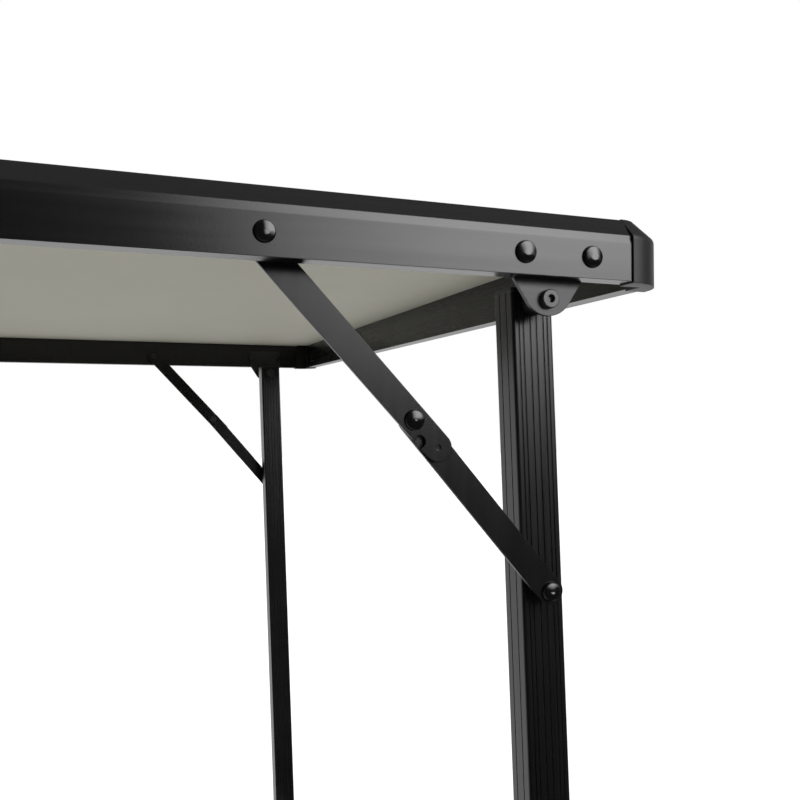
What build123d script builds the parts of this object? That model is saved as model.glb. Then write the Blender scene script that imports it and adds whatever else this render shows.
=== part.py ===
from build123d import *
import os
from math import asin, atan2, cos, degrees, hypot, radians, sin

# Folding table: a thin panel in a four-sided frame of hollow profiles, and at each end a leg
# frame that folds flat under the panel and is held open by two hinged flat-bar braces.
# Millimetres.  Z = 0 is the floor, the table's middle is X = Y = 0, the long sides run along X.
# Every piece of a corner is drawn once, for the front (-Y) right (+X) corner, and mirrored.

# ---- overall sizes, over the corner pieces
table_length = 1500.0
table_width = 714.0
table_height = 700.0

# ---- frame profile, measured inwards (in) from its outer face and up from its bottom
profile_height = 31.0
profile_depth = 10.3
profile_wall = 1.4
face_height = 18.2
band_height = 3.8
band_depth = 0.9
lip_depth = 7.7

# ---- panel
panel_thickness = 3.0
panel_clearance = 0.2

# ---- corner pieces
corner_length = 23.0
corner_proud = 1.0
corner_rise = 0.8
corner_drop = 0.8
corner_round = 22.4
corner_slope = 10.0
corner_blend = 3.5
tongue_length = 32.0
tongue_height = 16.0
tongue_clearance = 0.15

# ---- domed rivets
rivet_head_diameter = 9.5
rivet_head_height = 2.4
bracket_rivet_head_diameter = 10.5
bracket_rivet_head_height = 2.6
head_dome_ratio = 2.65
head_rim_share = 0.85
head_shoulder_share = 0.965
head_shoulder_drop = 0.55
rivet_shank_diameter = 5.0
rivet_tail_diameter = 7.5
rivet_tail_height = 1.2
rivet_hole_clearance = 0.05
rivet_height = 10.2
end_rivet_inset = 45.4

# ---- leg hinge: a bracket on the inside of the frame and a pin through the leg
hinge_inset = 63.0
hinge_drop = 9.1
bracket_thickness = 2.0
bracket_width = 36.6
bracket_top = 20.0
bracket_round = 13.2
bracket_drop = 17.0
bracket_rivet_pitch = 35.2
hinge_pin_diameter = 6.0
hinge_head_diameter = 9.0
hinge_head_height = 3.0
hinge_head_chamfer = 0.4
hinge_socket_diameter = 3.9
hinge_socket_depth = 2.2
hinge_tail_diameter = 10.0
hinge_tail_height = 2.0
hinge_spacer_diameter = 12.0

# ---- clearances of what turns
running_clearance = 0.05
side_clearance = 0.15

# ---- legs: ribbed rectangular tube, leaning outwards towards the floor
leg_width = 22.3
leg_depth = 18.9
leg_wall = 1.5
leg_corner_round = 1.6
leg_setback = 15.1
leg_splay = 2.1
leg_top_reach = 6.0
groove_width = 0.7
groove_depth = 0.4
face_grooves = (1.7, 5.5, 7.8)
side_groove = 3.4
cap_thickness = 2.2
cap_plug_depth = 2.2
cap_plug_clearance = 0.1
cap_round = 0.8
foot_wall = 2.2
foot_height = 32.0
foot_sole = 6.0
foot_round = 1.5
foot_clearance = 0.1

# ---- crossbar between the two legs of an end
crossbar_height = 110.0
crossbar_width = 20.0
crossbar_depth = 14.0
crossbar_wall = 1.4
screw_port_diameter = 7.0
screw_diameter = 4.0
screw_length = 20.0
screw_head_diameter = 8.0
screw_head_height = 2.2
screw_clearance = 0.05
washer_diameter = 11.0
washer_thickness = 1.0

# ---- braces: two flat links that meet at an elbow
brace_inset = 199.4
brace_reach = 139.0
elbow_share = 0.489
elbow_bend = 2.1
link_width = 13.1
link_thickness = 1.8
link_gap = 0.3
brace_standoff = 5.7
brace_spacer_diameter = 10.0
link_overrun = 17.2
dimple_diameter = 2.4
dimple_depth = 0.6
notch_radius = 3.0
notch_along = 9.0
notch_aside = 5.0
lock_pin_diameter = 3.0
lock_pin_rise = 0.15

# ---- cross rails under the panel
rail_spacing = 325.0
rail_width = 25.0
rail_height = 20.0
rail_wall = 1.2
rail_plate_width = 49.0
rail_plate_thickness = 2.0
rail_rivet_pitch = 37.0
rail_rivet_head_diameter = 6.5
rail_rivet_head_height = 1.2
rail_rivet_diameter = 3.2
rail_rivet_tail_diameter = 4.8
rail_rivet_tail_height = 1.0

# ---- places worked out from the sizes
half_length = table_length / 2
half_width = table_width / 2
frame_bottom = table_height - profile_height
panel_bottom = table_height - panel_thickness
inner_wall = corner_proud + profile_depth
hinge_x = half_length - hinge_inset
hinge_z = frame_bottom - hinge_drop
leg_front = inner_wall + leg_setback
bracket_rivet_head = (bracket_rivet_head_diameter / 2, bracket_rivet_head_height)
upper_link_in = inner_wall + brace_standoff
lower_link_in = upper_link_in + link_thickness + link_gap
leg_length = hinge_z / cos(radians(leg_splay))
crossbar_reach = (hinge_z - crossbar_height) / cos(radians(leg_splay))


def in_from_front(inwards):
    """The Y of a place that lies inwards from the front face of the corner pieces."""
    return inwards - half_width


def along_leg(distance):
    """The X and Z of a point on the right-hand leg's centre line, below its hinge."""
    lean = radians(leg_splay)
    return hinge_x + distance * sin(lean), hinge_z - distance * cos(lean)


def elbow_point(start, end):
    """Where the two links of a brace meet, a little to the hinge's side of the straight line."""
    run_x = end[0] - start[0]
    run_z = end[1] - start[1]
    span = hypot(run_x, run_z)
    return (
        start[0] + elbow_share * run_x - elbow_bend * run_z / span,
        start[1] + elbow_share * run_z + elbow_bend * run_x / span,
    )


brace_top = (half_length - brace_inset, frame_bottom + rivet_height)
brace_foot = along_leg(brace_reach)
elbow = elbow_point(brace_top, brace_foot)


# ---- shapes that several pieces use
def plate(outline, y_front, thickness):
    """A flat plate parallel to the long sides, its outline drawn in X and Z."""
    return extrude(Plane.XZ.offset(-y_front) * outline, -thickness)


def rod(x, z, y_front, y_back, diameter):
    """A plain round bar along Y."""
    length = y_back - y_front
    return Pos(x, y_front + length / 2, z) * Rot(90, 0, 0) * Cylinder(diameter / 2, length)


def sleeve(x, z, y_front, y_back, diameter, bore):
    """A round spacer along Y."""
    return rod(x, z, y_front, y_back, diameter) - rod(x, z, y_front, y_back, bore)


def turned(outline, x, y, z):
    """A turned fastener along Y, its outline drawn as radius and distance along the axis."""
    return Pos(x, y, z) * Rot(-90, 0, 0) * revolve(Plane.XZ * outline, Axis.Z)


def domed_rivet(x, y, z, grip, head=None, shank=None, tail=None):
    """A rivet along +Y: domed head in front of y, shank as long as the grip, flat tail."""
    head_radius, head_height = head or (rivet_head_diameter / 2, rivet_head_height)
    shank_radius = shank or rivet_shank_diameter / 2
    tail_radius, tail_height = tail or (rivet_tail_diameter / 2, rivet_tail_height)
    rivet = turned(head_outline(head_radius, head_height), x, y, z)
    rivet += rod(x, z, y, y + grip, 2 * shank_radius)
    return rivet + rod(x, z, y + grip, y + grip + tail_height, 2 * tail_radius)


def head_outline(radius, height):
    """Half the section of a low dome with a steep round rim: radius, distance along the axis."""
    dome_radius = radius * head_dome_ratio
    turn = asin(head_rim_share / head_dome_ratio)

    def on_dome(angle):
        return dome_radius * sin(angle), dome_radius - height - dome_radius * cos(angle)

    crown = ThreePointArc(on_dome(0), on_dome(turn / 2), on_dome(turn))
    rim_top = on_dome(turn)
    shoulder = (radius * head_shoulder_share, rim_top[1] * head_shoulder_drop)
    rim = ThreePointArc(rim_top, shoulder, (radius, 0))
    return make_face(crown + rim + Polyline((radius, 0), (0, 0), (0, -height)))


def rivet_hole(x, z, y_front, y_back, diameter=rivet_shank_diameter):
    """The hole that a rivet passes through."""
    return rod(x, z, y_front, y_back, diameter + 2 * rivet_hole_clearance)


def link_outline(start, end, overrun=0.0):
    """A flat link with round ends, centred on two points and run past the second one."""
    run_x = end[0] - start[0]
    run_z = end[1] - start[1]
    span = hypot(run_x, run_z)
    reach = (span + overrun) / span
    tip = (start[0] + run_x * reach, start[1] + run_z * reach)
    middle = ((start[0] + tip[0]) / 2, (start[1] + tip[1]) / 2)
    turn = degrees(atan2(run_z, run_x))
    slot = SlotCenterToCenter(span + overrun, link_width)
    return Pos(*middle) * Rot(0, 0, turn) * slot


def beside_link(along, aside):
    """A point on the upper link, beyond the elbow and off to its lower edge."""
    run_x = elbow[0] - brace_top[0]
    run_z = elbow[1] - brace_top[1]
    span = hypot(run_x, run_z)
    return (
        elbow[0] + (along * run_x + aside * run_z) / span,
        elbow[1] + (along * run_z - aside * run_x) / span,
    )


# ---- top frame
def profile_outline():
    """The frame profile's outline: inwards from its outer face, and up."""
    ledge = profile_height - panel_thickness
    return make_face(
        Polyline(
            (0, 0),
            (0, face_height),
            (band_depth, face_height + band_height),
            (lip_depth, profile_height),
            (lip_depth, ledge),
            (profile_depth, ledge),
            (profile_depth, 0),
            (0, 0),
        )
    )


def frame_side(span, face_distance):
    """A hollow frame profile along X, its outer face towards -Y, centred on X = 0."""
    outline = profile_outline()
    hollow = offset(outline, -profile_wall, kind=Kind.INTERSECTION)
    section = Pos(-face_distance, frame_bottom) * (outline - hollow)
    return extrude(Plane.YZ.offset(-span / 2) * section, span)


def front_rivet_insets():
    """Insets of the three rivets near each end of a long side."""
    half_pitch = bracket_rivet_pitch / 2
    return hinge_inset - half_pitch, hinge_inset + half_pitch, brace_inset


def rail_places():
    return -rail_spacing, 0.0, rail_spacing


def long_side():
    """The front side of the frame, drilled for its rivets."""
    side = frame_side(table_length - 2 * corner_length, half_width - corner_proud)
    outer = in_from_front(0)
    inner = in_from_front(inner_wall)
    height = frame_bottom + rivet_height
    for inset in front_rivet_insets():
        for end in (-1, 1):
            side -= rivet_hole(end * (half_length - inset), height, outer, inner + 1)
    for place in rail_places():
        for hand in (-1, 1):
            x = place + hand * rail_rivet_pitch / 2
            hole_start = inner - profile_wall - 1
            side -= rivet_hole(x, rail_middle(), hole_start, inner + 1, rail_rivet_diameter)
    return side


def short_side():
    """The right-hand end of the frame, drilled for its two rivets."""
    side = frame_side(table_width - 2 * corner_length, half_length - corner_proud)
    height = frame_bottom + rivet_height
    outer = -half_length
    for hand in (-1, 1):
        x = hand * (half_width - end_rivet_inset)
        side -= rivet_hole(x, height, outer, outer + inner_wall + 1)
    return Rot(0, 0, 90) * side


def rivet_inset(direction):
    """How far from the corner the rivet through a tongue sits."""
    return hinge_inset - bracket_rivet_pitch / 2 if direction == "front" else end_rivet_inset


def tongue(direction):
    """The part of a corner piece that slides into the hollow of a side."""
    gap = profile_wall + tongue_clearance
    thickness = profile_depth - 2 * gap
    inwards = corner_proud + profile_depth / 2
    block = Box(tongue_length, thickness, tongue_height, align=(Align.MAX, Align.CENTER, Align.MIN))
    block = Pos(-corner_length, inwards, gap) * block
    block -= rivet_hole(-rivet_inset(direction), rivet_height, 0, inner_wall)
    if direction == "side":
        block = mirror(Rot(0, 0, 90) * block, Plane.XZ)
    return block


def corner_block():
    """A corner as thick as the profiles, under a web level with the panel.

    Its outermost corner, were it not rounded, is over X = Y = 0.
    """
    top = profile_height + corner_rise
    slope_foot = top - corner_slope
    section = make_face(
        Polyline(
            (0, -corner_drop),
            (0, slope_foot),
            (corner_slope, top),
            (corner_length, top),
            (corner_length, -corner_drop),
            (0, -corner_drop),
        )
    )
    over_side = extrude(Plane.YZ * section, -corner_length)
    over_end = mirror(Rot(0, 0, 90) * over_side, Plane.XZ)
    square = over_side & over_end
    ledge = profile_height - panel_thickness
    square -= Pos(-inner_wall, inner_wall, ledge) * Box(
        corner_length, corner_length, 2 * profile_height, align=(Align.MAX, Align.MIN, Align.MAX)
    )
    quadrant = Box(
        corner_round, corner_round, 4 * profile_height, align=(Align.MAX, Align.MIN, Align.CENTER)
    )
    stand = (Align.CENTER, Align.CENTER, Align.MIN)
    upright = Cylinder(corner_round, slope_foot + corner_drop, align=stand)
    slope = Cone(corner_round, 0, corner_round, align=stand)
    round_corner = Pos(0, 0, -corner_drop) * upright + Pos(0, 0, slope_foot) * slope
    round_corner = Pos(-corner_round, corner_round, 0) * round_corner & quadrant
    block = square - quadrant + (round_corner & square)
    edges = block.edges().filter_by_position(Axis.Z, slope_foot, slope_foot)
    return fillet(edges, corner_blend)


def corner_piece():
    """A moulded corner: a rounded block over the two profiles' ends, with two tongues."""
    piece = corner_block() + tongue("front") + tongue("side")
    return Pos(half_length, -half_width, frame_bottom) * piece


def panel():
    """The thin table panel, notched round the corner pieces."""
    inset = corner_proud + lip_depth + panel_clearance
    length = table_length - 2 * inset
    width = table_width - 2 * inset
    board = Pos(0, 0, panel_bottom) * Box(
        length, width, panel_thickness, align=(Align.CENTER, Align.CENTER, Align.MIN)
    )
    notch = 2 * (corner_length + panel_clearance)
    for end in (-1, 1):
        for hand in (-1, 1):
            board -= Pos(end * half_length, hand * half_width, table_height) * Box(
                notch, notch, 4 * panel_thickness
            )
    return board


# ---- cross rails
def rail_middle():
    """Height of the middle of a cross rail."""
    return panel_bottom - rail_height / 2


def cross_rail(x):
    """A rectangular tube across the table with a plate on each end."""
    inner = half_width - inner_wall
    tube_length = 2 * (inner - rail_plate_thickness)
    tube = Box(rail_width, tube_length, rail_height)
    tube -= Box(rail_width - 2 * rail_wall, tube_length, rail_height - 2 * rail_wall)
    for hand in (-1, 1):
        end_plate = Box(rail_plate_width, rail_plate_thickness, rail_height)
        for side in (-1, 1):
            end_plate -= rivet_hole(
                side * rail_rivet_pitch / 2, 0, -rail_plate_thickness, rail_plate_thickness,
                rail_rivet_diameter,
            )
        tube += Pos(0, hand * (inner - rail_plate_thickness / 2), 0) * end_plate
    return Pos(x, 0, rail_middle()) * tube


def rail_rivets():
    """Small rivets through the rails' end plates, heads towards the middle of the table."""
    rivets = []
    inner = in_from_front(inner_wall + rail_plate_thickness)
    for place in rail_places():
        for side in (-1, 1):
            rivet = domed_rivet(
                0, 0, 0,
                rail_plate_thickness + profile_wall,
                head=(rail_rivet_head_diameter / 2, rail_rivet_head_height),
                shank=rail_rivet_diameter / 2,
                tail=(rail_rivet_tail_diameter / 2, rail_rivet_tail_height),
            )
            x = place + side * rail_rivet_pitch / 2
            rivet = Pos(x, inner, rail_middle()) * mirror(rivet, Plane.XZ)
            rivets += [rivet, mirror(rivet, Plane.XZ)]
    return rivets


# ---- hinge
def hinge_bracket():
    """A flat bracket riveted behind the frame, its rounded ear hanging below it."""
    y_front = in_from_front(inner_wall)
    ear_centre = bracket_round - bracket_drop
    top = Pos(hinge_x, frame_bottom + bracket_top / 2) * Rectangle(bracket_width, bracket_top)
    ear = Pos(hinge_x, frame_bottom + ear_centre) * Circle(bracket_round)
    outline = make_hull(top.edges() + ear.edges())
    bracket = plate(outline, y_front, bracket_thickness)
    y_back = y_front + bracket_thickness
    for hand in (-1, 1):
        x = hinge_x + hand * bracket_rivet_pitch / 2
        bracket -= rivet_hole(x, frame_bottom + rivet_height, y_front, y_back)
    return bracket - rivet_hole(hinge_x, hinge_z, y_front, y_back, hinge_pin_diameter)


def hinge_pin():
    """The pin that the leg turns on: socket head in front, flat tail behind the leg."""
    y_seat = in_from_front(inner_wall)
    head = hinge_head_diameter / 2
    socket = hinge_socket_diameter / 2
    shank = hinge_pin_diameter / 2
    tail = hinge_tail_diameter / 2
    grip = leg_setback + leg_depth + side_clearance
    outline = make_face(
        Polyline(
            (0, hinge_socket_depth - hinge_head_height),
            (socket, hinge_socket_depth - hinge_head_height),
            (socket, -hinge_head_height),
            (head - hinge_head_chamfer, -hinge_head_height),
            (head, hinge_head_chamfer - hinge_head_height),
            (head, 0),
            (shank, 0),
            (shank, grip),
            (tail, grip),
            (tail, grip + hinge_tail_height),
            (0, grip + hinge_tail_height),
            (0, hinge_socket_depth - hinge_head_height),
        )
    )
    return turned(outline, hinge_x, y_seat, hinge_z)


def hinge_spacer():
    """Keeps the leg off the bracket; it turns with the leg."""
    return sleeve(
        hinge_x,
        hinge_z,
        in_from_front(inner_wall + bracket_thickness + side_clearance),
        in_from_front(leg_front),
        hinge_spacer_diameter,
        hinge_pin_diameter + 2 * running_clearance,
    )


# ---- leg frame, drawn upright about its hinge and then leaned outwards
def lean(piece):
    """Leans an upright piece of the leg frame, drawn about the hinge, and puts it in place."""
    return Pos(hinge_x, 0, hinge_z) * Rot(0, -leg_splay, 0) * piece


def leg():
    """A ribbed tube with holes for the hinge pin, the brace and the crossbar screw."""
    section = RectangleRounded(leg_width, leg_depth, leg_corner_round)
    section -= Rectangle(leg_width - 2 * leg_wall, leg_depth - 2 * leg_wall)
    cut = 2 * groove_depth
    for hand in (-1, 1):
        for place in face_grooves:
            for face in (-1, 1):
                section -= Pos(hand * place, face * leg_depth / 2) * Rectangle(groove_width, cut)
        for face in (-1, 1):
            section -= Pos(face * leg_width / 2, hand * side_groove) * Rectangle(cut, groove_width)
    bottom = foot_sole - leg_length
    tube = extrude(Plane.XY.offset(bottom) * section, leg_top_reach - bottom)
    tube = Pos(0, in_from_front(leg_front + leg_depth / 2), 0) * tube
    front = in_from_front(leg_front)
    back = front + leg_depth
    tube -= rod(0, 0, front - 1, back + 1, hinge_pin_diameter + 2 * running_clearance)
    tube -= rivet_hole(0, -brace_reach, front - 1, front + leg_depth / 2)
    tube -= rivet_hole(0, -crossbar_reach, front - 1, back + 1, screw_diameter)
    return lean(tube)


def leg_cap():
    """A plug with a rounded top that closes the tube above the hinge."""
    shrink = 2 * leg_wall + 2 * cap_plug_clearance
    y = in_from_front(leg_front + leg_depth / 2)
    sink = (Align.CENTER, Align.CENTER, Align.MIN)
    top = Box(leg_width, leg_depth, cap_thickness, align=sink)
    top = fillet(top.edges().filter_by(Axis.Z), leg_corner_round)
    top = fillet(top.faces().sort_by(Axis.Z)[-1].edges(), cap_round)
    plug = Box(leg_width - shrink, leg_depth - shrink, cap_plug_depth, align=sink)
    plug = Pos(0, 0, -cap_plug_depth) * plug
    return lean(Pos(0, y, leg_top_reach) * (top + plug))


def foot():
    """A moulded boot on the leg's end, its sole level with the floor."""
    growth = 2 * foot_wall
    play = 2 * foot_clearance
    y = in_from_front(leg_front + leg_depth / 2)
    grow = (Align.CENTER, Align.CENTER, Align.MIN)
    boot = Box(leg_width + growth, leg_depth + growth, foot_height + foot_sole, align=grow)
    boot = fillet(boot.edges().filter_by(Axis.Z), foot_round + foot_wall)
    boot = fillet(boot.faces().sort_by(Axis.Z)[-1].edges(), foot_wall / 3)
    boot -= Pos(0, 0, 2 * foot_sole) * Box(
        leg_width + play, leg_depth + play, foot_height, align=grow
    )
    boot = lean(Pos(0, y, -leg_length - foot_sole) * boot)
    sink = (Align.CENTER, Align.CENTER, Align.MAX)
    below = Box(table_length * 2, table_width * 2, table_height, align=sink)
    return boot - below


def crossbar():
    """A flat tube between the two legs of an end, with a screw port along its middle."""
    section = Rectangle(crossbar_width, crossbar_depth)
    section -= Rectangle(crossbar_width - 2 * crossbar_wall, crossbar_depth - 2 * crossbar_wall)
    section += Rectangle(crossbar_wall, crossbar_depth)
    section += Circle(screw_port_diameter / 2)
    section -= Circle(screw_diameter / 2 + screw_clearance)
    length = table_width - 2 * (leg_front + leg_depth)
    bar = extrude(Plane.XZ.offset(-length / 2) * section, length)
    return lean(Pos(0, 0, -crossbar_reach) * bar)


def crossbar_washer():
    """A washer under the crossbar screw's head, flat on the leg."""
    front = in_from_front(leg_front)
    bore = screw_diameter + 2 * screw_clearance
    washer = sleeve(0, -crossbar_reach, front - washer_thickness, front, washer_diameter, bore)
    return lean(washer)


def crossbar_screw():
    """A pan-head screw through the leg into the crossbar's port."""
    head = screw_head_diameter / 2
    shank = screw_diameter / 2
    grip = washer_thickness + leg_depth + screw_length
    arc = ThreePointArc(
        (0, -screw_head_height),
        (head * 0.8, -screw_head_height * 0.7),
        (head, 0),
    )
    side = Polyline((head, 0), (shank, 0), (shank, grip), (0, grip), (0, -screw_head_height))
    outline = make_face(arc + side)
    y_seat = in_from_front(leg_front) - washer_thickness
    return lean(turned(outline, 0, y_seat, -crossbar_reach))


# ---- braces
def upper_link():
    """The brace's upper link: notched beside its lock and run on past the elbow."""
    y_front = in_from_front(upper_link_in)
    outline = link_outline(brace_top, elbow, link_overrun)
    outline -= Pos(*brace_top) * Circle(rivet_shank_diameter / 2 + running_clearance)
    outline -= Pos(*elbow) * Circle(rivet_shank_diameter / 2 + rivet_hole_clearance)
    mouth = beside_link(notch_along, link_width)
    root = beside_link(notch_along, notch_aside)
    outline -= Pos(*root) * Circle(notch_radius)
    outline -= notch_mouth(root, mouth)
    link = plate(outline, y_front, link_thickness)
    dimple = beside_link(link_overrun, 0)
    return link - rod(*dimple, y_front - 1, y_front + dimple_depth, dimple_diameter)


def notch_mouth(root, mouth):
    """The straight sides of the notch, from its round root out through the link's edge."""
    run_x = mouth[0] - root[0]
    run_z = mouth[1] - root[1]
    middle = ((root[0] + mouth[0]) / 2, (root[1] + mouth[1]) / 2)
    turn = degrees(atan2(run_z, run_x))
    slot = Rectangle(hypot(run_x, run_z), 2 * notch_radius)
    return Pos(*middle) * Rot(0, 0, turn) * slot


def lower_link():
    """The brace's lower link, behind the upper one, from the elbow to the leg."""
    outline = link_outline(elbow, brace_foot)
    outline -= Pos(*elbow) * Circle(rivet_shank_diameter / 2 + rivet_hole_clearance)
    outline -= Pos(*brace_foot) * Circle(rivet_shank_diameter / 2 + running_clearance)
    lock = beside_link(notch_along, notch_aside)
    outline -= Pos(*lock) * Circle(lock_pin_diameter / 2 + rivet_hole_clearance)
    return plate(outline, in_from_front(lower_link_in), link_thickness)


def elbow_rivet():
    """The front half of the elbow's rivet, fast in the upper link and flush behind it."""
    y_seat = in_from_front(upper_link_in)
    head = turned(head_outline(rivet_head_diameter / 2, rivet_head_height), *at(elbow, y_seat))
    return head + rod(*elbow, y_seat, y_seat + link_thickness, rivet_shank_diameter)


def lower_link_pins():
    """The elbow rivet's rear half and the lock pin, both fast in the lower link."""
    y_front = in_from_front(lower_link_in)
    y_back = y_front + link_thickness
    tail_back = y_back + rivet_tail_height
    shank = rod(*elbow, y_front, tail_back, rivet_shank_diameter)
    tail = rod(*elbow, y_back, tail_back, rivet_tail_diameter)
    lock = beside_link(notch_along, notch_aside)
    lock_pin = rod(*lock, y_front - lock_pin_rise, y_back, lock_pin_diameter)
    return [shank + tail, lock_pin]


def at(point, y):
    """A place in X, Y and Z from a point in X and Z."""
    return point[0], y, point[1]


def brace_pivot_rivet():
    """The rivet that hangs the upper link on the frame."""
    y_seat = in_from_front(corner_proud)
    grip = profile_depth + brace_standoff + link_thickness + side_clearance
    return domed_rivet(*at(brace_top, y_seat), grip)


def brace_pivot_spacer():
    """Keeps the upper link off the frame."""
    return sleeve(
        *brace_top,
        in_from_front(inner_wall),
        in_from_front(upper_link_in - side_clearance),
        brace_spacer_diameter,
        rivet_shank_diameter + 2 * rivet_hole_clearance,
    )


def brace_foot_rivet():
    """The rivet that holds the lower link on the leg."""
    y_seat = in_from_front(lower_link_in - side_clearance)
    grip = in_from_front(leg_front + leg_wall) - y_seat
    return domed_rivet(*at(brace_foot, y_seat), grip)


def brace_foot_spacer():
    """Keeps the lower link off the leg."""
    return sleeve(
        *brace_foot,
        in_from_front(lower_link_in + link_thickness + side_clearance),
        in_from_front(leg_front),
        brace_spacer_diameter,
        rivet_shank_diameter + 2 * rivet_hole_clearance,
    )


def bracket_rivets():
    """The two rivets through the frame side and the hinge bracket."""
    y_seat = in_from_front(corner_proud)
    height = frame_bottom + rivet_height
    grip = profile_depth + bracket_thickness
    return [
        domed_rivet(hinge_x + hand * bracket_rivet_pitch / 2, y_seat, height, grip, bracket_rivet_head)
        for hand in (-1, 1)
    ]


def end_rivet():
    """The rivet through a short side and the corner piece's tongue."""
    rivet = domed_rivet(0, 0, 0, profile_depth, bracket_rivet_head)
    y = in_from_front(end_rivet_inset)
    x = half_length - corner_proud
    return Pos(x, y, frame_bottom + rivet_height) * Rot(0, 0, 90) * rivet


# ---- mirroring, naming and writing
def mirrored(piece, end, side):
    """A piece of the front right corner, mirrored to another corner."""
    if end == "left":
        piece = mirror(piece, Plane.YZ)
    if side == "rear":
        piece = mirror(piece, Plane.XZ)
    return piece


def save(name, pieces):
    """Writes a piece, or a group of separate pieces, as one node."""
    if not isinstance(pieces, list):
        pieces = [pieces]
    solids = [solid for piece in pieces for solid in piece.solids()]
    shape = solids[0] if len(solids) == 1 else Compound(children=solids)
    export_step(shape, f"parts/{name}.step")


ends = ("right", "left")
sides = ("front", "rear")

os.makedirs("parts", exist_ok=True)

save("tabletop_panel", panel())

front_side = long_side()
right_side = short_side()
save("frame_side_front", front_side)
save("frame_side_rear", mirror(front_side, Plane.XZ))
save("frame_end_right", right_side)
save("frame_end_left", mirror(right_side, Plane.YZ))

for name, place in zip(("left", "centre", "right"), rail_places()):
    save(f"cross_rail_{name}", cross_rail(place))
save("cross_rail_rivets", rail_rivets())

one_at_each_corner = {
    "corner_piece": corner_piece(),
    "hinge_bracket": hinge_bracket(),
    "leg": leg(),
    "foot": foot(),
    "upper_link": upper_link(),
    "elbow_rivet": elbow_rivet(),
    "lower_link": lower_link(),
    "lower_link_pins": lower_link_pins(),
}
for name, pieces in one_at_each_corner.items():
    pieces = pieces if isinstance(pieces, list) else [pieces]
    for end in ends:
        for side in sides:
            save(f"{name}_{side}_{end}", [mirrored(piece, end, side) for piece in pieces])

one_pair_at_each_end = {
    "leg_caps": leg_cap(),
    "hinge_spacers": hinge_spacer(),
    "crossbar_screws": crossbar_screw(),
    "crossbar_washers": crossbar_washer(),
    "brace_foot_rivets": brace_foot_rivet(),
    "brace_foot_spacers": brace_foot_spacer(),
}
for name, piece in one_pair_at_each_end.items():
    for end in ends:
        save(f"{name}_{end}", [mirrored(piece, end, side) for side in sides])

right_crossbar = crossbar()
save("crossbar_right", right_crossbar)
save("crossbar_left", mirror(right_crossbar, Plane.YZ))

one_group_for_all_corners = {
    "bracket_rivets": bracket_rivets(),
    "end_rivets": [end_rivet()],
    "hinge_pins": [hinge_pin()],
    "brace_pivot_rivets": [brace_pivot_rivet()],
    "brace_pivot_spacers": [brace_pivot_spacer()],
}
for name, pieces in one_group_for_all_corners.items():
    save(name, [mirrored(piece, end, side) for piece in pieces for end in ends for side in sides])
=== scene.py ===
import math

import bpy
from mathutils import Matrix, Vector


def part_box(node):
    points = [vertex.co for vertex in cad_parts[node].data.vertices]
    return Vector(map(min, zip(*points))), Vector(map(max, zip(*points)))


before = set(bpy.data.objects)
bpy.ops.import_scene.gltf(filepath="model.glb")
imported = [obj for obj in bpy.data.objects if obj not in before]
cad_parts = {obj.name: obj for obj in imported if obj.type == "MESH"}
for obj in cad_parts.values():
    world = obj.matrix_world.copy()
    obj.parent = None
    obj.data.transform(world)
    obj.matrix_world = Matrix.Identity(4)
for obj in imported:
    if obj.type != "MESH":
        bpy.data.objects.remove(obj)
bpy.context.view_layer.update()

MM = 0.001

# ---- where the camera stands, from the near right corner of the table
CAMERA_IN_FROM_END = 261.9 * MM
CAMERA_OUT_FROM_SIDE = 323.6 * MM
CAMERA_BELOW_FRAME = 65.2 * MM
CAMERA_TURN = math.radians(20.36)
CAMERA_LIFT = math.radians(1.30)
CAMERA_ROLL = math.radians(-0.10)
CAMERA_LENS = 36.69
CAMERA_SENSOR = 36.0

# ---- the light's strengths, and the borders of the card of light in front of the table
CARD_TO_GLOSS = 7.2
CARD_TO_MATT = 2.2
CARD_LEFT = (math.radians(6), math.radians(13))
CARD_FADE = (math.radians(8), math.radians(28))
CARD_RIGHT = (math.radians(42), math.radians(60))
CARD_BOTTOM = (math.sin(math.radians(0)), math.sin(math.radians(12)))
CARD_TOP = (math.sin(math.radians(56)), math.sin(math.radians(66)))
BACK_WALL = 0.85
WALLS = 0.03
CEILING = 0.26
SUN = 0.7
FLOOR_HALF = 12.0
FLOOR_GLOW = 0.38
FLOOR_GLOW_SEEN = 0.8

# ---- material values that several materials share, and the laminate's colours
NOISE_LOW = 0.3
NOISE_HIGH = 0.7
STREAK_ALONG = 6.0
STREAK_ACROSS = 260.0
LAMINATE_DARK = (0.335, 0.328, 0.27, 1)
LAMINATE_LIGHT = (0.42, 0.412, 0.345, 1)
LAMINATE_EDGE = (0.2, 0.19, 0.16, 1)


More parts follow.
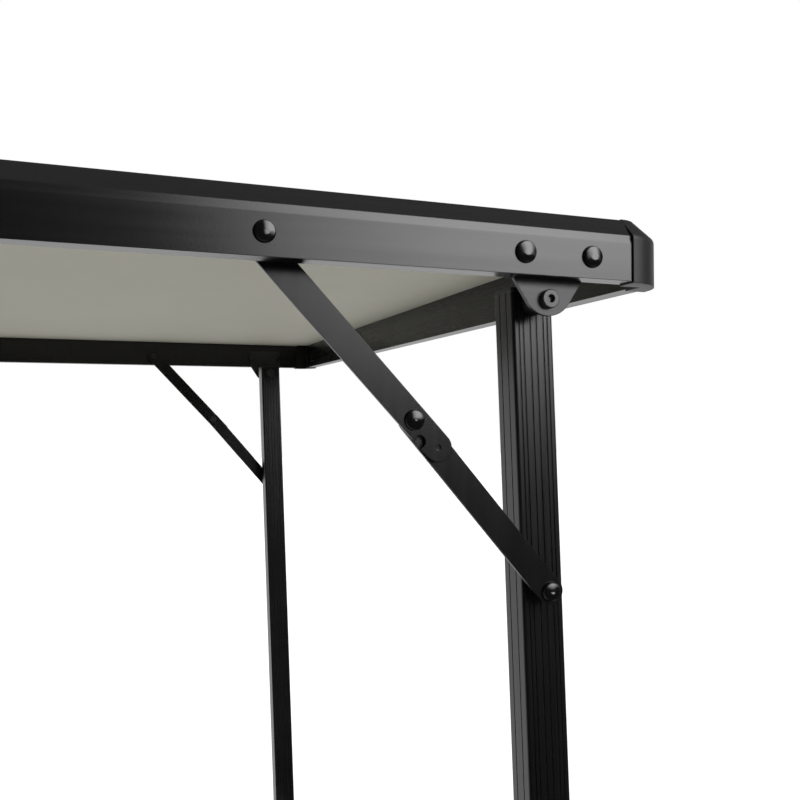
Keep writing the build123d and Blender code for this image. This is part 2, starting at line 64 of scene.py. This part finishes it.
# ---- small helpers for node materials
class Nodes:
    """A material's or the world's node tree, with short calls to add and link nodes."""

    def __init__(self, owner):
        owner.use_nodes = True
        self.tree = owner.node_tree
        self.tree.nodes.clear()

    def add(self, kind, inputs=None, **settings):
        node = self.tree.nodes.new(kind)
        for name, value in settings.items():
            setattr(node, name, value)
        for name, value in (inputs or {}).items():
            if isinstance(value, bpy.types.NodeSocket):
                self.tree.links.new(value, node.inputs[name])
            else:
                node.inputs[name].default_value = value
        return node

    def math(self, operation, first, second, clamp=False):
        inputs = {0: first, 1: second}
        return self.add("ShaderNodeMath", inputs, operation=operation, use_clamp=clamp).outputs[0]

    def times(self, first, second):
        return self.math("MULTIPLY", first, second)

    def plus(self, first, second):
        return self.math("ADD", first, second)

    def smooth(self, value, low, high, start=0.0, end=1.0):
        """Goes smoothly from start to end while value goes from low to high."""
        inputs = {"Value": value, 1: low, 2: high, 3: start, 4: end}
        node = self.add("ShaderNodeMapRange", inputs, interpolation_type="SMOOTHSTEP")
        return node.outputs[0]

    def noise(self, vector, scale, detail=3.0, roughness=0.5):
        inputs = {"Vector": vector, "Scale": scale, "Detail": detail, "Roughness": roughness}
        return self.add("ShaderNodeTexNoise", inputs).outputs["Fac"]

    def stretched(self, vector, x, y, z):
        inputs = {0: vector, 1: (x, y, z)}
        return self.add("ShaderNodeVectorMath", inputs, operation="MULTIPLY").outputs[0]

    def mix(self, factor, first, second):
        inputs = {"Factor": factor, 6: first, 7: second}
        return self.add("ShaderNodeMix", inputs, data_type="RGBA").outputs[2]

    def soft_edges(self, radius):
        """The normal rounded over along edges, and how near an edge is, from 0 to about 0.5."""
        rounded = self.add("ShaderNodeBevel", {"Radius": radius}, samples=4).outputs[0]
        flat = self.add("ShaderNodeNewGeometry").outputs["Normal"]
        inputs = {0: rounded, 1: flat}
        alike = self.add("ShaderNodeVectorMath", inputs, operation="DOT_PRODUCT").outputs["Value"]
        return rounded, self.math("SUBTRACT", 1.0, alike, clamp=True)

    def bump(self, height, strength, distance, normal):
        inputs = {"Height": height, "Strength": strength, "Distance": distance, "Normal": normal}
        return self.add("ShaderNodeBump", inputs).outputs[0]

    def place(self):
        """Where a point is on the object, in metres."""
        return self.add("ShaderNodeTexCoord").outputs["Object"]

    def surface(self, colour, gloss, normal, specular=0.5):
        """Ends a material with its shader."""
        inputs = {
            "Base Color": colour,
            "Roughness": gloss,
            "Specular IOR Level": specular,
            "Normal": normal,
        }
        shader = self.add("ShaderNodeBsdfPrincipled", inputs).outputs[0]
        self.add("ShaderNodeOutputMaterial", {"Surface": shader})


def grey(value):
    return (value, value, value, 1.0)


def coated_metal(
    name, tone, gloss_low, gloss_high, along, peel=0.12, streak=0.05, specular=0.5
):
    """Satin black coat on drawn metal: fine orange peel, faint streaks along the draw."""
    material = bpy.data.materials.new(name)
    nodes = Nodes(material)
    place = nodes.place()
    stretch = [STREAK_ALONG if axis == along else STREAK_ACROSS for axis in "XYZ"]
    streaks = nodes.noise(nodes.stretched(place, *stretch), 1.0, 2.0)
    peel_height = nodes.noise(place, 1400.0, 2.0)
    specks = nodes.noise(place, 5200.0, 1.0)
    cloud = nodes.noise(place, 9.0, 4.0)
    tint = nodes.plus(nodes.times(cloud, 0.6), nodes.times(specks, 0.4))
    colour = nodes.mix(tint, grey(tone * 0.8), grey(tone * 1.25))
    wear = nodes.plus(nodes.times(streaks, 0.5), nodes.times(cloud, 0.5))
    gloss = nodes.smooth(wear, NOISE_LOW, NOISE_HIGH, gloss_low, gloss_high)
    rounded, edge = nodes.soft_edges(0.5 * MM)
    rubbed = nodes.times(nodes.smooth(edge, 0.02, 0.25), nodes.smooth(cloud, 0.4, 0.65))
    colour = nodes.mix(rubbed, colour, grey(tone * 5))
    gloss = nodes.plus(gloss, nodes.times(rubbed, 0.08))
    normal = nodes.bump(peel_height, peel, 0.12 * MM, rounded)
    normal = nodes.bump(streaks, streak, 0.15 * MM, normal)
    nodes.surface(colour, gloss, normal, specular)
    return material


def moulded_plastic(name, tone, gloss_low, gloss_high):
    """Matt moulded plastic with a spark-eroded grain."""
    material = bpy.data.materials.new(name)
    nodes = Nodes(material)
    place = nodes.place()
    grain = nodes.noise(place, 3200.0, 3.0, 0.6)
    cloud = nodes.noise(place, 30.0, 3.0)
    colour = nodes.mix(cloud, grey(tone * 0.85), grey(tone * 1.15))
    gloss = nodes.smooth(cloud, NOISE_LOW, NOISE_HIGH, gloss_low, gloss_high)
    rounded, edge = nodes.soft_edges(0.6 * MM)
    scuffed = nodes.times(nodes.smooth(edge, 0.02, 0.25), nodes.smooth(cloud, 0.4, 0.65))
    colour = nodes.mix(scuffed, colour, grey(tone * 3))
    gloss = nodes.math("SUBTRACT", gloss, nodes.times(scuffed, 0.06))
    normal = nodes.bump(grain, 0.25, 0.1 * MM, rounded)
    nodes.surface(colour, gloss, normal, 0.4)
    return material


def steel(name, tone, gloss):
    """Blackened steel with a fine grain and brighter edges."""
    material = bpy.data.materials.new(name)
    nodes = Nodes(material)
    grain = nodes.noise(nodes.place(), 2400.0, 3.0)
    colour = nodes.mix(grain, grey(tone * 0.8), grey(tone * 1.2))
    rough = nodes.smooth(grain, NOISE_LOW, NOISE_HIGH, gloss * 0.9, gloss * 1.1)
    rounded, edge = nodes.soft_edges(0.3 * MM)
    colour = nodes.mix(nodes.smooth(edge, 0.02, 0.3), colour, grey(tone * 3))
    normal = nodes.bump(grain, 0.08, 0.08 * MM, rounded)
    nodes.surface(colour, rough, normal)
    return material


def laminate(name):
    """Warm grey laminate: a soft mottle with fine fibres along it."""
    material = bpy.data.materials.new(name)
    nodes = Nodes(material)
    place = nodes.place()
    mottle = nodes.noise(place, 14.0, 5.0, 0.6)
    fibres = nodes.noise(nodes.stretched(place, 90.0, 900.0, 900.0), 1.0, 3.0)
    blend = nodes.plus(nodes.times(mottle, 0.5), nodes.times(fibres, 0.5))
    colour = nodes.mix(blend, LAMINATE_DARK, LAMINATE_LIGHT)
    gloss = nodes.smooth(fibres, NOISE_LOW, NOISE_HIGH, 0.6, 0.72)
    rounded, edge = nodes.soft_edges(0.4 * MM)
    colour = nodes.mix(nodes.smooth(edge, 0.02, 0.3), colour, LAMINATE_EDGE)
    normal = nodes.bump(fibres, 0.12, 0.08 * MM, rounded)
    nodes.surface(colour, gloss, normal, 0.35)
    return material


# ---- what each CAD node is made of
def dress(materials):
    """Gives each CAD node the material that its name asks for."""
    for name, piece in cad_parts.items():
        material = next(made for start, made in materials if name.startswith(start))
        piece.data.materials.clear()
        piece.data.materials.append(material)
        for polygon in piece.data.polygons:
            polygon.material_index = 0


rail_coat = coated_metal("rail_coat", 0.003, 0.28, 0.36, "Y")
side_coat = coated_metal("side_coat", 0.003, 0.21, 0.27, "X")
end_coat = coated_metal("end_coat", 0.003, 0.24, 0.30, "Y", specular=0.36)
leg_coat = coated_metal("leg_coat", 0.003, 0.23, 0.30, "Z")
link_coat = coated_metal("link_coat", 0.003, 0.22, 0.28, "Z", peel=0.2, specular=0.4)
bracket_coat = coated_metal("bracket_coat", 0.012, 0.27, 0.34, "X", peel=0.2)
plastic = moulded_plastic("moulded_black", 0.006, 0.42, 0.5)
rivet_coat = steel("rivet_black", 0.003, 0.13)
pin_steel = steel("pin_black", 0.016, 0.24)
board = laminate("panel_laminate")

dress(
    [
        ("tabletop_panel", board),
        ("frame_side", side_coat),
        ("frame_end", end_coat),
        ("cross_rail_rivets", rivet_coat),
        ("cross_rail", rail_coat),
        ("corner_piece", plastic),
        ("foot", plastic),
        ("leg_caps", plastic),
        ("leg_", leg_coat),
        ("crossbar_screws", rivet_coat),
        ("crossbar_washers", rivet_coat),
        ("crossbar", rail_coat),
        ("upper_link", link_coat),
        ("lower_link_pins", pin_steel),
        ("lower_link", link_coat),
        ("hinge_bracket", bracket_coat),
        ("hinge_pins", pin_steel),
        ("hinge_spacers", plastic),
        ("brace_pivot_spacers", plastic),
        ("brace_foot_spacers", plastic),
        ("", rivet_coat),
    ]
)


# ---- floor, light and camera
def floor():
    """A large pale floor, out of sight of mirror-like rays."""
    half = FLOOR_HALF
    mesh = bpy.data.meshes.new("floor")
    corners = [(-half, -half, 0), (half, -half, 0), (half, half, 0), (-half, half, 0)]
    mesh.from_pydata(corners, [], [(0, 1, 2, 3)])
    plane = bpy.data.objects.new("floor", mesh)
    bpy.context.scene.collection.objects.link(plane)
    material = bpy.data.materials.new("floor_pale")
    nodes = Nodes(material)
    matt = nodes.add("ShaderNodeBsdfDiffuse", {"Color": grey(0.5)})
    is_camera = nodes.add("ShaderNodeLightPath").outputs["Is Camera Ray"]
    strength = nodes.smooth(is_camera, 0.0, 1.0, FLOOR_GLOW, FLOOR_GLOW_SEEN)
    glow = nodes.add("ShaderNodeEmission", {"Color": grey(1.0), "Strength": strength})
    both = nodes.add("ShaderNodeAddShader", {0: matt.outputs[0], 1: glow.outputs[0]})
    nodes.add("ShaderNodeOutputMaterial", {"Surface": both.outputs[0]})
    mesh.materials.append(material)
    plane.visible_glossy = False


def studio():
    """A room seen as white: bright behind the table, dark behind the camera but for one card."""
    world = bpy.data.worlds.new("studio")
    bpy.context.scene.world = world
    nodes = Nodes(world)
    direction = nodes.add("ShaderNodeTexCoord").outputs["Generated"]
    parts = nodes.add("ShaderNodeSeparateXYZ", {0: direction})
    x, y, z = parts.outputs[0], parts.outputs[1], parts.outputs[2]
    azimuth = nodes.math("ARCTAN2", x, nodes.times(y, -1.0))
    left = nodes.smooth(azimuth, *CARD_LEFT)
    right = nodes.smooth(azimuth, *CARD_RIGHT, 1.0, 0.0)
    across = nodes.times(nodes.times(left, right), nodes.smooth(azimuth, *CARD_FADE, 0.45, 1.0))
    up = nodes.times(nodes.smooth(z, *CARD_BOTTOM), nodes.smooth(z, *CARD_TOP, 1.0, 0.0))
    rays = nodes.add("ShaderNodeLightPath").outputs
    brightness = nodes.smooth(rays["Is Diffuse Ray"], 0.0, 1.0, CARD_TO_GLOSS, CARD_TO_MATT)
    card = nodes.times(nodes.times(across, up), brightness)
    behind = nodes.smooth(y, -0.15, 0.45)
    not_above = nodes.smooth(z, 0.25, 0.6, 1.0, 0.0)
    back_wall = nodes.times(nodes.times(behind, not_above), BACK_WALL)
    ceiling = nodes.smooth(z, 0.6, 0.9, WALLS, CEILING)
    light = nodes.plus(nodes.plus(card, back_wall), ceiling)
    lit = nodes.add("ShaderNodeBackground", {"Color": grey(1.0), "Strength": light})
    seen = nodes.add("ShaderNodeBackground", {"Color": grey(1.0), "Strength": 1.0})
    shown = nodes.add(
        "ShaderNodeMixShader", {0: rays["Is Camera Ray"], 1: lit.outputs[0], 2: seen.outputs[0]}
    )
    nodes.add("ShaderNodeOutputWorld", {"Surface": shown.outputs[0]})


def key_light():
    """A soft sun from behind and above, for the table top and the floor."""
    data = bpy.data.lights.new("key", "SUN")
    data.energy = SUN
    data.angle = math.radians(25)
    light = bpy.data.objects.new("key", data)
    bpy.context.scene.collection.objects.link(light)
    towards = Vector((0.2, -0.6, -0.75))
    light.rotation_euler = towards.to_track_quat("-Z", "Y").to_euler()
    light.visible_glossy = False


def camera():
    """A camera just below the table's edge, near its right-hand front corner."""
    low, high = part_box("corner_piece_front_right")
    side_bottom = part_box("frame_side_front")[0].z
    data = bpy.data.cameras.new("camera")
    data.lens = CAMERA_LENS
    data.sensor_width = CAMERA_SENSOR
    data.clip_start = 0.01
    eye = bpy.data.objects.new("camera", data)
    eye.location = (
        high.x - CAMERA_IN_FROM_END,
        low.y - CAMERA_OUT_FROM_SIDE,
        side_bottom - CAMERA_BELOW_FRAME,
    )
    turn = Matrix.Rotation(-CAMERA_TURN, 3, "Z")
    lift = Matrix.Rotation(math.pi / 2 + CAMERA_LIFT, 3, "X")
    roll = Matrix.Rotation(CAMERA_ROLL, 3, "Z")
    eye.rotation_euler = (turn @ lift @ roll).to_euler()
    bpy.context.scene.collection.objects.link(eye)
    bpy.context.scene.camera = eye


floor()
studio()
key_light()
camera()

view = bpy.context.scene.view_settings
view.view_transform = "Standard"
view.look = "None"
